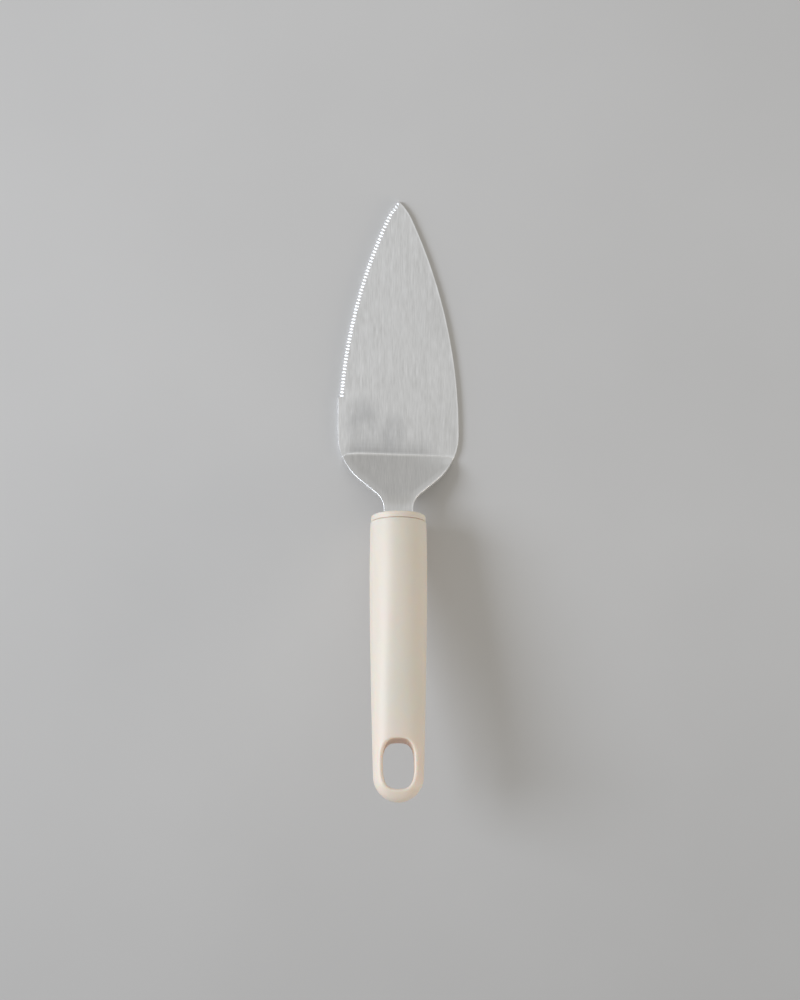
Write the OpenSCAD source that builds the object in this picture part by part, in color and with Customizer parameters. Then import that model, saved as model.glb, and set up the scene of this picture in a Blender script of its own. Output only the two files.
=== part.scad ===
// Cake server: a stamped steel blade, serrated along one side, whose bent shoulder and tang are
// clamped between two core halves inside a hollow moulded handle that ends in a hanging loop.
// The underside of the blade lies on z = 0, the tip points along +Y and the serrated side is -X.

/* [Blade] */
// Length of the flat blade from the crease to the tip
blade_l = 115.7; // [110:0.1:122]
// Greatest width of the blade
blade_w = 55; // [50:0.5:60]
// Thickness of the steel sheet
sheet_t = 2; // [1.6:0.1:2.4]
// Distance from the crease forward to the widest line of the blade
wide_at = 9.2; // [7:0.1:12]
// How far the tip stops short of the point where the two long side arcs would meet
tip_blunt = 3.8; // [2:0.1:6]
// Radius of the blunter arcs that form the tip
tip_r = 24.5; // [20:0.5:30]

/* [Serration] */
// Length of the plain heel between the widest line of the blade and the first groove
heel_l = 17.2; // [8:0.1:40]
// Pitch of the ground grooves along the edge
groove_pitch = 1.54; // [1.3:0.02:2]
// Width of one ground groove
groove_w = 0.96; // [0.7:0.02:1.2]
// How far a groove reaches in from the edge
groove_l = 1.85; // [1.4:0.05:2.4]
// How deep a groove notches the outline of the edge
groove_bite = 0.22; // [0.1:0.02:0.4]

/* [Shoulder and neck] */
// Angle by which the shoulder rises from the flat blade
shoulder_rise = 33; // [31:0.5:36]
// Length of the shoulder from the crease to the bend into the neck
shoulder_l = 23.6; // [22.5:0.1:27]
// Length of the neck from its bend to the front of the handle
neck_l = 8.1; // [7:0.1:12]
// Width of the neck and of the tang
neck_w = 13.2; // [11:0.1:15]
// Inner radius of the crease
crease_r = 1.5; // [1:0.1:3]
// Inner radius of the bend between shoulder and neck
neck_bend_r = 21; // [15:0.5:26]
// Radius of the round corner where the side turns in to the shoulder
shoulder_r = 26.6; // [24:0.1:28]
// Angle by which the outline turns in along the shoulder
shoulder_turn = 51; // [48:0.5:54]
// Radius of the hollow curve from the shoulder to the neck
neck_r = 8.5; // [7:0.1:10]

/* [Handle] */
// Upward tilt of the handle
handle_tilt = 13.5; // [12:0.5:16]
// Length of the handle along its axis, with the front cap
handle_l = 129; // [120:0.5:140]
// Width of the handle at its front edge
handle_front_w = 25.2; // [24.6:0.1:27]
// Width of the handle at its thickest place
handle_belly_w = 25.8; // [25:0.1:28]
// Width of the handle where the hanging loop starts to round off
handle_rear_w = 22.5; // [21:0.1:25]
// Thickness of the handle where the hanging loop starts to round off
handle_rear_t = 15; // [13:0.1:18]
// Length over which the end of the loop rounds off from above and below
end_round_l = 8; // [6:0.5:11]
// Wall thickness of the hollow handle
handle_wall = 1.6; // [1.3:0.1:2]
// Bore at the mouth of the handle, which takes the cap's spigot and the core
bore_w = 21.6; // [20.6:0.1:21.8]
// Solid web between the inner hollow and the hanging hole
loop_web = 3.5; // [2.5:0.1:6]

/* [Hanging hole] */
// Width of the hanging hole
hole_w = 13.9; // [12:0.1:15]
// Length of the hanging hole along the handle
hole_l = 22; // [16:0.1:26]
// Corner radius of the hanging hole
hole_corner_r = 6; // [3:0.1:6.5]
// Material left between the hanging hole and the end of the handle
hole_end_gap = 5.3; // [4:0.1:9]

/* [Front cap] */
// Length of the cap that shows in front of the handle
cap_l = 3.2; // [2.4:0.1:5]
// Outer width of the cap
cap_w = 24.6; // [23.6:0.1:25]
// Radius of the cap's front edge
cap_round = 0.9; // [0.4:0.1:1.4]
// Length of the spigot that enters the handle
spigot_l = 5; // [3:0.1:8]
// Wall thickness of the spigot
spigot_wall = 1.6; // [1:0.1:2.4]

/* [Tang and core] */
// Length of the tang inside the handle, with the part inside the cap
tang_l = 38; // [36:0.5:50]
// Width of the core's bar along the tang
core_bar_w = 16.4; // [16:0.1:18]
// Thickness of the core's bar, both halves together
core_bar_t = 10; // [9:0.1:12]
// Thickness of each round rib of the core
rib_t = 2.2; // [1.6:0.1:3]
// How far the core reaches past the end of the tang
core_tail = 2; // [1:0.1:4]
// Diameter of the pegs that pass through the tang
peg_d = 4; // [3:0.1:5]
// How far a peg reaches into the lower core half
peg_grip = 2.4; // [1.5:0.1:2.6]
// Clearance between pieces that fit into each other
fit = 0.1; // [0.05:0.01:0.15]

/* [Hidden] */

$fn = 64;
overrun = 1;

// Place of the belly along the handle, and how square the section is at the loop
belly_share = 0.2;
loop_square_share = 0.15;
taper_power = 1.5;
// Depth of a groove at the edge, and places of the pegs along the tang
groove_depth_share = 0.68;
peg_at_shares = [0.42, 0.76];
rib_count = 3;
// Rounding of the handle's front edge
mouth_round = 0.4;
// Ledge at the end of the bore, against which the core stops
hollow_ledge = 0.8;
// Length over which the hollow closes towards the loop
hollow_nose_l = 9;

// Fineness of the curved skins
around_n = 40;
hollow_around_n = 24;
side_steps = 26;
tip_steps = 8;
corner_steps = 6;
cap_edge_steps = 6;
crease_steps = 6;
slope_steps = 12;
neck_steps = 8;
neck_straight_steps = 4;
mouth_steps = 3;
body_steps = 14;
end_steps = 12;
hollow_steps = 10;
hollow_nose_steps = 6;
// Share of a step by which a rounded end stops short of a point
pole_share = 0.2;

// Half sizes
half_blade_w = blade_w / 2;
half_neck_w = neck_w / 2;
half_t = sheet_t / 2;
bore_r = bore_w / 2;
spigot_r = bore_r - fit;
core_r = bore_r - fit;
peg_r = peg_d / 2;
groove_r = groove_w / 2;

// Outline of the blade from above, measured from the crease
virtual_tip_l = blade_l - wide_at + tip_blunt;
side_r = (half_blade_w ^ 2 + virtual_tip_l ^ 2) / blade_w;
side_centre = [half_blade_w - side_r, wide_at];
tip_reach = norm([0, blade_l] - side_centre);
tip_arm = side_r - tip_r;
tip_swing = acos((tip_reach ^ 2 + tip_arm ^ 2 - tip_r ^ 2) / (2 * tip_reach * tip_arm));
join_angle = atan2(blade_l - side_centre.y, -side_centre.x) - tip_swing;
tip_centre = side_centre + tip_arm * [cos(join_angle), sin(join_angle)];
tip_angle = atan2(blade_l - tip_centre.y, -tip_centre.x);
join_y = side_centre.y + side_r * sin(join_angle);
step_y = wide_at + heel_l;
shoulder_centre = [half_blade_w - shoulder_r, wide_at];
slant_start = shoulder_centre + shoulder_r * [cos(shoulder_turn), -sin(shoulder_turn)];
slant_end_x = half_neck_w + neck_r * (1 - cos(shoulder_turn));
slant_end_y = slant_start.y - (slant_start.x - slant_end_x) / tan(shoulder_turn);
neck_y = slant_end_y - neck_r * sin(shoulder_turn);

// Side view of the sheet's middle plane, measured from the crease
crease_mid_r = crease_r + half_t;
neck_mid_r = neck_bend_r + half_t;
neck_turn = shoulder_rise - handle_tilt;
crease_tangent = crease_mid_r * tan(shoulder_rise / 2);
neck_tangent = neck_mid_r * tan(neck_turn / 2);
rise_dir = [-cos(shoulder_rise), sin(shoulder_rise)];
tilt_dir = [-cos(handle_tilt), sin(handle_tilt)];
neck_vertex = [0, half_t] + shoulder_l * rise_dir;
cap_front = neck_vertex + neck_l * tilt_dir;

// Handle, measured along its axis from the cap's front face
belly_u = cap_l + (handle_l - cap_l) * belly_share;
round_w_u = handle_l - handle_rear_w / 2;
round_t_u = handle_l - end_round_l;
hole_u = handle_l - hole_end_gap - hole_l / 2;
core_front_u = cap_l + spigot_l;
core_back_u = tang_l + core_tail;
hollow_end_u = hole_u - hole_l / 2 - loop_web;
corner_r = min(hole_corner_r, hole_w / 2 - fit);

// Stations along the handle, closer together where it rounds off
handle_stations = concat(
    [for (i = [0 : mouth_steps - 1]) cap_l + mouth_round * (1 - cos(90 * i / mouth_steps))],
    [for (i = [0 : body_steps]) cap_l + mouth_round + (round_w_u - cap_l - mouth_round) * i / body_steps],
    [for (i = [1 : end_steps]) round_w_u + (handle_l - round_w_u) * sin(90 * i / (end_steps + pole_share))]
);
rear_reach = max([for (u = handle_stations) u * cos(handle_tilt) + handle_half_t(u) * sin(handle_tilt)]);
tip_y = blade_l;
rear_y = cap_front.x - rear_reach;
crease_y = -(tip_y + rear_y) / 2;

// Half width of the blade's outline at the distance y from the crease
function outline_half_w(y) =
    y > join_y ? tip_centre.x + sqrt(max(0, tip_r ^ 2 - (y - tip_centre.y) ^ 2)) :
    y > wide_at ? side_centre.x + sqrt(side_r ^ 2 - (y - wide_at) ^ 2) :
    y > slant_start.y ? shoulder_centre.x + sqrt(shoulder_r ^ 2 - (y - wide_at) ^ 2) :
    y > slant_end_y ? slant_end_x + (y - slant_end_y) * tan(shoulder_turn) :
    y > neck_y ? half_neck_w + neck_r - sqrt(neck_r ^ 2 - (y - neck_y) ^ 2) :
    half_neck_w;

// Points of an arc about a centre
function arc(centre, r, from, to, steps) =
    [for (i = [0 : steps])
        let (a = from + (to - from) * i / steps)
        centre + r * [cos(a), sin(a)]];

// Length of the curved edge from the widest line to the tip
side_arc_l = side_r * join_angle * PI / 180;
edge_l = side_arc_l + tip_r * (tip_angle - join_angle) * PI / 180;

// Direction and place of the edge at the distance s from the widest line, along the curve
function edge_angle(s) =
    s < side_arc_l ? s / side_r * 180 / PI : join_angle + (s - side_arc_l) / tip_r * 180 / PI;
function edge_point(s) =
    let (a = edge_angle(s))
    s < side_arc_l ? side_centre + side_r * [cos(a), sin(a)] : tip_centre + tip_r * [cos(a), sin(a)];

// A rounded end falls away as a quarter ellipse
function round_off(u, from, to) = u > from ? sqrt(max(0, 1 - ((u - from) / (to - from)) ^ 2)) : 1;

// Swell from the front edge to the belly, then a long taper to the loop
function swell(u, front, belly, rear, taper_end) =
    u < belly_u ? belly - (belly - front) * ((belly_u - u) / (belly_u - cap_l)) ^ 2 :
    belly - (belly - rear) * ((u - belly_u) / (taper_end - belly_u)) ^ taper_power;

// The mouth's outer edge is rounded by mouth_round
function mouth_cut(u) =
    let (short = cap_l + mouth_round - u)
    short > 0 ? mouth_round - sqrt(max(0, mouth_round ^ 2 - short ^ 2)) : 0;

function handle_half_w(u) =
    swell(u, handle_front_w, handle_belly_w, handle_rear_w, round_w_u) / 2
    * round_off(u, round_w_u, handle_l) - mouth_cut(u);
function handle_half_t(u) =
    swell(u, handle_front_w, handle_belly_w, handle_rear_t, round_t_u) / 2
    * round_off(u, round_t_u, handle_l) - mouth_cut(u);

// Round in front, and slightly squared towards the loop
function section_power(u) =
    2 / (1 - loop_square_share * max(0, min(1, (u - belly_u) / (round_w_u - belly_u))));
function signed_power(v, p) = sign(v) * abs(v) ^ p;
function section(half_w, half_h, power, u, n) =
    [for (i = [0 : n - 1]) let (a = 360 * i / n)
        [half_w * signed_power(cos(a), 2 / power), half_h * signed_power(sin(a), 2 / power), u]];

// Closed skin through rings with the same number of points
module skin(rings) {
    n = len(rings[0]);
    last = len(rings) - 1;
    polyhedron(
        points = [for (ring = rings) each ring],
        faces = concat(
            [[for (i = [0 : n - 1]) i]],
            [for (k = [0 : last - 1]) for (i = [0 : n - 1])
                each [
                    [k * n + i, (k + 1) * n + i, (k + 1) * n + (i + 1) % n],
                    [k * n + i, (k + 1) * n + (i + 1) % n, k * n + (i + 1) % n]
                ]],
            [[for (i = [0 : n - 1]) last * n + n - 1 - i]]
        )
    );
}

// Puts children that are drawn from the crease into the part's frame
module from_crease() {
    translate([0, crease_y, 0])
        children();
}

// Puts children that are drawn along z into the handle, with y upwards across it
module along_handle() {
    from_crease()
        translate([0, cap_front.x, cap_front.y])
            rotate([90 - handle_tilt, 0, 0])
                children();
}

// Flat part of the blade, with the serrated side standing back from the plain heel
module blade_plate() {
    heel_angle = asin((wide_at - crease_tangent) / shoulder_r);
    right = concat(
        arc(shoulder_centre, shoulder_r, -heel_angle, 0, corner_steps),
        arc(side_centre, side_r, join_angle / side_steps, join_angle, side_steps - 1),
        arc(tip_centre, tip_r, join_angle + (tip_angle - join_angle) / tip_steps, tip_angle, tip_steps - 1)
    );
    serrated = [for (i = [len(right) - 2 : -1 : 0]) if (right[i].y > step_y) [-right[i].x, right[i].y]];
    heel = [for (i = [corner_steps : -1 : 0]) [-right[i].x, right[i].y]];
    step = [[-outline_half_w(step_y), step_y], [-half_blade_w, step_y]];
    linear_extrude(height = sheet_t)
        polygon(concat(right, serrated, step, heel));
}

// Stations of the bent sheet from the crease to the end of the tang: slope, middle point, half width
function sheet_station(slope, middle) = [slope, middle, outline_half_w(middle.x)];
neck_bend_centre = neck_vertex - neck_tangent * rise_dir
    - neck_mid_r * [sin(shoulder_rise), cos(shoulder_rise)];
sheet_stations = concat(
    [for (i = [0 : crease_steps])
        let (a = shoulder_rise * i / crease_steps)
        sheet_station(a, [crease_tangent, half_t + crease_mid_r] - crease_mid_r * [sin(a), cos(a)])],
    [for (i = [1 : slope_steps])
        let (l = crease_tangent + (shoulder_l - crease_tangent - neck_tangent) * i / slope_steps)
        sheet_station(shoulder_rise, [0, half_t] + l * rise_dir)],
    [for (i = [1 : neck_steps])
        let (a = shoulder_rise - neck_turn * i / neck_steps)
        sheet_station(a, neck_bend_centre + neck_mid_r * [sin(a), cos(a)])],
    [for (i = [1 : neck_straight_steps])
        let (l = neck_tangent + (neck_l - neck_tangent) * i / neck_straight_steps)
        sheet_station(handle_tilt, neck_vertex + l * tilt_dir)],
    [for (i = [0 : corner_steps])
        let (a = 90 * i / (corner_steps + pole_share))
        [handle_tilt, cap_front + (tang_l - half_neck_w * (1 - sin(a))) * tilt_dir, half_neck_w * cos(a)]]
);

// Bent shoulder, neck and tang, with their edges square to the sheet
module bent_sheet() {
    skin([for (s = sheet_stations)
        let (
            up = half_t * [sin(s[0]), cos(s[0])],
            low = s[1] - up,
            high = s[1] + up,
            w = s[2]
        )
        [[w, low.x, low.y], [w, high.x, high.y], [-w, high.x, high.y], [-w, low.x, low.y]]]);
}

// Round bars across the tang at each peg, from the height top downwards
module pegs(r, top, length) {
    for (share = peg_at_shares)
        translate([0, top, tang_l * share])
            rotate([90, 0, 0])
                cylinder(r = r, h = length);
}

// One ground groove with its floor sloping down to the edge, and the notch that it leaves in the outline
module groove(s) {
    at = edge_point(s);
    depth = groove_depth_share * sheet_t;
    slope = atan(depth / groove_l);
    translate([-at.x, at.y, 0])
        rotate([0, 0, 180 - edge_angle(s)]) {
            translate([0, 0, sheet_t - depth])
                rotate([0, slope, 0])
                    translate([-groove_l, 0, groove_r])
                        rotate([90, 0, 90])
                            linear_extrude(height = 2 * groove_l)
                                union() {
                                    circle(r = groove_r);
                                    translate([-groove_r, 0])
                                        square([groove_w, sheet_t]);
                                }
            translate([groove_r - groove_bite, 0, -overrun])
                cylinder(r = groove_r, h = sheet_t + 2 * overrun);
        }
}

// The row of grooves from the step in the outline to the tip
module serration() {
    start_angle = asin((step_y - wide_at) / side_r);
    start_s = side_r * start_angle * PI / 180 + groove_pitch / 2;
    steps = floor((edge_l - start_s - groove_w) / groove_pitch);
    for (i = [0 : steps])
        groove(start_s + i * groove_pitch);
}

// Flat blade, shoulder, neck and tang in one sheet, with the holes for the pegs
module blade() {
    color("silver")
        difference() {
            from_crease()
                union() {
                    difference() {
                        blade_plate();
                        serration();
                    }
                    bent_sheet();
                }
            along_handle()
                pegs(peg_r + fit, half_t + overrun, sheet_t + 2 * overrun);
        }
}

// Round cap that closes the mouth of the handle around the tang
module front_cap() {
    cap_r = cap_w / 2;
    color("antiquewhite")
        along_handle()
            difference() {
                rotate_extrude()
                    polygon(concat(
                        [[0, 0]],
                        arc([cap_r - cap_round, cap_round], cap_round, -90, 0, cap_edge_steps),
                        [
                            [cap_r, cap_l],
                            [spigot_r, cap_l],
                            [spigot_r, core_front_u],
                            [spigot_r - spigot_wall, core_front_u],
                            [spigot_r - spigot_wall, cap_l],
                            [0, cap_l]
                        ]
                    ));
                translate([-half_neck_w - fit, -half_t - fit, -overrun])
                    cube([neck_w + 2 * fit, sheet_t + 2 * fit, cap_l + 2 * overrun]);
            }
}

// Bar and round ribs of one core half, drawn above the middle plane, with its half of the tang's recess
module core_half() {
    core_l = core_back_u - core_front_u;
    difference() {
        intersection() {
            union() {
                translate([-core_bar_w / 2, 0, core_front_u])
                    cube([core_bar_w, core_bar_t / 2, core_l]);
                for (i = [0 : rib_count - 1])
                    translate([-bore_r, 0, core_front_u + (core_l - rib_t) * i / (rib_count - 1)])
                        cube([bore_w, bore_r, rib_t]);
            }
            translate([0, 0, core_front_u])
                cylinder(r = core_r, h = core_l);
        }
        translate([-half_neck_w - fit, -overrun, core_front_u - overrun])
            cube([neck_w + 2 * fit, half_t + overrun, tang_l - core_front_u + fit + overrun]);
    }
}

// The upper half carries the pegs that pass through the tang
module core_upper() {
    color("gainsboro")
        along_handle()
            union() {
                core_half();
                pegs(peg_r, half_t + fit, sheet_t + peg_grip + fit);
            }
}

// The lower half has a socket for each peg
module core_lower() {
    color("lightgray")
        along_handle()
            difference() {
                mirror([0, 1, 0])
                    core_half();
                pegs(peg_r + fit, half_t, sheet_t + peg_grip + fit);
            }
}

// Rounded slot through the loop, drawn flat
module hole_outline() {
    union() {
        square([hole_w, hole_l - 2 * corner_r], center = true);
        square([hole_w - 2 * corner_r, hole_l], center = true);
        for (x = [-1, 1])
            for (y = [-1, 1])
                translate([x * (hole_w / 2 - corner_r), y * (hole_l / 2 - corner_r)])
                    circle(r = corner_r);
    }
}

// Hollow behind the bore, which follows the outside of the handle and lightens it
module hollow() {
    from = core_back_u - overrun;
    nose_u = hollow_end_u - hollow_nose_l;
    nose_turn = 90 / (hollow_nose_steps + pole_share);
    most_r = bore_r - hollow_ledge;
    us = concat(
        [for (i = [0 : hollow_steps]) from + (nose_u - from) * i / hollow_steps],
        [for (i = [1 : hollow_nose_steps]) nose_u + hollow_nose_l * sin(nose_turn * i)]
    );
    skin([for (u = us)
        let (closing = round_off(u, nose_u, hollow_end_u))
        section(
            min(handle_half_w(u) - handle_wall, most_r) * closing,
            min(handle_half_t(u) - handle_wall, most_r) * closing,
            section_power(u), u, hollow_around_n)]);
}

// Outer skin less the bore for the core, the hollow and the hanging hole
module handle() {
    color("antiquewhite")
        along_handle()
            difference() {
                skin([for (u = handle_stations)
                    section(handle_half_w(u), handle_half_t(u), section_power(u), u, around_n)]);
                translate([0, 0, cap_l - overrun])
                    cylinder(r = bore_r, h = core_back_u - cap_l + overrun);
                hollow();
                translate([0, 0, hole_u])
                    rotate([90, 0, 0])
                        linear_extrude(height = handle_belly_w, center = true)
                            hole_outline();
            }
}

blade();
front_cap();
core_upper();
core_lower();
handle();
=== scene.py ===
# %% [markdown]
# # A cake server
#
# The real thing is one sheet of stainless steel, bent up at the shoulder, with a row of ground
# grooves along one side. Its tang sits in a hollow handle of moulded cream plastic, behind a short
# cap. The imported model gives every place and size, and this script dresses it: each visible piece
# becomes a surface worked out as whole numpy arrays, with a finish built from shader nodes.

# %% Load the frame
import math

import bmesh
import bpy
import numpy as np
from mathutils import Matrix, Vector


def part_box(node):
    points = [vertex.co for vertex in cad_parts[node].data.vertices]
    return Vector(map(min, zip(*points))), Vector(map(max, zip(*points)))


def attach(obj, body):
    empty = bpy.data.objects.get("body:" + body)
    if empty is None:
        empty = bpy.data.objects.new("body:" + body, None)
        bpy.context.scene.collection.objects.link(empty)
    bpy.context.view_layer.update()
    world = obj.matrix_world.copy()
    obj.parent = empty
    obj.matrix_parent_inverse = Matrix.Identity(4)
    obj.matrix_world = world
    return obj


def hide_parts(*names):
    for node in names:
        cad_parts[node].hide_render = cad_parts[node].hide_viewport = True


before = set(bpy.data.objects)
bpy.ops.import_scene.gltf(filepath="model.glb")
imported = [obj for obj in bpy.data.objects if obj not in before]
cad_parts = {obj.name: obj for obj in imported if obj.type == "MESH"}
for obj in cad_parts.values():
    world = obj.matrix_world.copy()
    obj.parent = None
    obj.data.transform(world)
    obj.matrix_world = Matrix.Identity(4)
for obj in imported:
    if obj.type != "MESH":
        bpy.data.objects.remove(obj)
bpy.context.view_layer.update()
mm = 0.001
print("nodes of the frame:", ", ".join(sorted(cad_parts)))

# %% [markdown]
# ## Camera
#
# The photograph looks straight down from high above. A long lens at 1.2 m keeps the perspective as
# weak as it is there, so the raised loop grows by only a few percent. The walls that show inside
# the hanging hole tell where the camera stood: almost straight above, and about 15 mm to the left
# of the handle. It needs no shift, and leans by a sixth of a degree.

# %% Camera
picture_middle = Vector((0.9 * mm, -1.6 * mm, 0))
camera_height = 1200 * mm
camera_to_left = 15 * mm
picture_length = 456.4 * mm
lean = math.radians(0.15)

camera = bpy.data.objects.new("camera", bpy.data.cameras.new("camera"))
bpy.context.scene.collection.objects.link(camera)
bpy.context.scene.camera = camera
camera.location = picture_middle + Vector((-camera_to_left, 0, camera_height))
camera.rotation_euler = (0, -math.atan(camera_to_left / camera_height), lean)
camera.data.lens = camera.data.sensor_width * camera_height / picture_length
print("lens in mm:", round(camera.data.lens, 1))

# %% [markdown]
# ## Light, floor and world
#
# The photograph has one big soft window on the left and a pale room all round. A flat steel blade
# shows what is straight above it, and the sloping shoulder shows what is low beyond the tip. So the
# world is a smooth grey dome, brightest half way up, neutral low down and a little warm overhead.
# It is also the plain backdrop of the side views. A large cool lamp, the window, models the round
# handle and throws the shadows to the right. A low white board beside it lights the handle's left
# flank, and a weak warm lamp, the pale wall across the room, keeps the right flank from going dark.
# The floor ends early on the left, before the glare that the low board would throw on it.

# %% World dome
bpy.context.scene.view_settings.view_transform = "Standard"
dome_by_height = ((0.0, 0.50), (0.3, 0.55), (0.55, 0.55), (0.8, 0.485), (1.0, 0.425))
low_tint = (1.0, 1.0, 1.005)
high_tint = (1.0, 0.97, 0.91)
tint_turns_at = 0.7

world = bpy.data.worlds.new("studio")
bpy.context.scene.world = world
world.use_nodes = True
dome = world.node_tree.nodes
dome.clear()
direction = dome.new("ShaderNodeTexCoord")
parts = dome.new("ShaderNodeSeparateXYZ")
height_to_light = dome.new("ShaderNodeValToRGB")
ramp = height_to_light.color_ramp
ramp.elements.remove(ramp.elements[1])
for number, (height, light) in enumerate(dome_by_height):
    stop = ramp.elements.new(height) if number else ramp.elements[0]
    tints = low_tint if height < tint_turns_at else high_tint
    stop.color = (*[light * tint for tint in tints], 1)
background = dome.new("ShaderNodeBackground")
world_output = dome.new("ShaderNodeOutputWorld")
join = world.node_tree.links.new
join(direction.outputs["Generated"], parts.inputs["Vector"])
join(parts.outputs["Z"], height_to_light.inputs["Fac"])
join(height_to_light.outputs["Color"], background.inputs["Color"])
join(background.outputs["Background"], world_output.inputs["Surface"])
print("dome from", dome_by_height[0][1], "at the horizon to", dome_by_height[-1][1], "overhead")

# %% Soft lamps
def soft_lamp(name, place, width, height, watts, colour):
    """A rectangular lamp at place, in metres, turned to face the middle of the floor."""
    lamp = bpy.data.objects.new(name, bpy.data.lights.new(name, "AREA"))
    lamp.data.shape = "RECTANGLE"
    lamp.data.size = width
    lamp.data.size_y = height
    lamp.data.energy = watts
    lamp.data.color = colour
    lamp.location = place
    lamp.rotation_euler = (-Vector(place)).to_track_quat("-Z", "Y").to_euler()
    bpy.context.scene.collection.objects.link(lamp)
    print(name, "at", place, "with", watts, "W")


cool = (0.905, 0.975, 1.11)
warm = (1.0, 0.91, 0.80)
soft_lamp("window", (-2.1, 0.35, 1.5), width=1.2, height=1.2, watts=38.5, colour=cool)
soft_lamp("white board", (-3.1, 0.58, 0.5), width=2.7, height=0.75, watts=11.5, colour=cool)
soft_lamp("pale wall", (2.95, -0.92, 0.59), width=1.65, height=1.1, watts=22.5, colour=warm)

# %% Floor
floor_reach = 3.0
floor_left = 1.8
floor_drop = 0.05 * mm
floor_corners = [
    (-floor_left, -floor_reach, -floor_drop), (floor_reach, -floor_reach, -floor_drop),
    (floor_reach, floor_reach, -floor_drop), (-floor_left, floor_reach, -floor_drop),
]
floor_mesh = bpy.data.meshes.new("floor")
floor_mesh.from_pydata(floor_corners, [], [(0, 1, 2, 3)])
floor = bpy.data.objects.new("floor", floor_mesh)
bpy.context.scene.collection.objects.link(floor)
print("floor", floor_left + floor_reach, "m wide")

# %% [markdown]
# ## Helpers for surfaces
#
# A surface here is a grid of points: one row per station along the piece, one column per place
# round it. Grids that meet share their border points, so welding them closes the piece. Corners
# sharper than an angle stay crisp, and everything else is shaded smooth.

# %% Grid to mesh
weld_gap = 0.002 * mm


def grid_faces(rows, columns, first):
    """Four-sided faces between rings of points, as indices: each ring's last column joins its
    first, and each ring joins the next."""
    row = np.arange(rows - 1)[:, None]
    column = np.arange(columns)[None, :]
    after = (column + 1) % columns
    here, ahead = row * columns, (row + 1) * columns
    faces = np.stack((here + column, here + after, ahead + after, ahead + column), axis=-1)
    return first + faces.reshape(-1, 4)


def make_piece(name, grids, finishes, crisp_angle=40, uv=None, face_finish=None):
    """Welds grids, arrays of rows by columns by xyz in metres, into one closed mesh object.

    uv gives each point's place on each named map, and face_finish the finish of each face."""
    points = np.concatenate([grid.reshape(-1, 3) for grid in grids])
    firsts = np.cumsum([0] + [grid.shape[0] * grid.shape[1] for grid in grids])
    faces = [grid_faces(*grid.shape[:2], first) for grid, first in zip(grids, firsts)]
    mesh = bpy.data.meshes.new(name)
    mesh.from_pydata(points, [], np.concatenate(faces))
    if face_finish is not None:
        mesh.polygons.foreach_set("material_index", face_finish.astype(np.int32).ravel())
    corner_point = np.empty(len(mesh.loops), np.int32)
    mesh.loops.foreach_get("vertex_index", corner_point)
    for map_name, places in (uv or {}).items():
        layer = mesh.uv_layers.new(name=map_name)
        layer.uv.foreach_set("vector", places[corner_point].astype(np.float32).ravel())
    shell = bmesh.new()
    shell.from_mesh(mesh)
    bmesh.ops.remove_doubles(shell, verts=shell.verts, dist=weld_gap)
    bmesh.ops.recalc_face_normals(shell, faces=shell.faces)
    open_edges = sum(1 for edge in shell.edges if len(edge.link_faces) != 2)
    shell.to_mesh(mesh)
    shell.free()
    mesh.polygons.foreach_set("use_smooth", np.ones(len(mesh.polygons), bool))
    mesh.set_sharp_from_angle(angle=math.radians(crisp_angle))
    for finish in finishes:
        mesh.materials.append(finish)
    piece = bpy.data.objects.new(name, mesh)
    bpy.context.scene.collection.objects.link(piece)
    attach(piece, "root")
    print(name, len(mesh.polygons), "faces,", open_edges, "open edges")
    return piece


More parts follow.
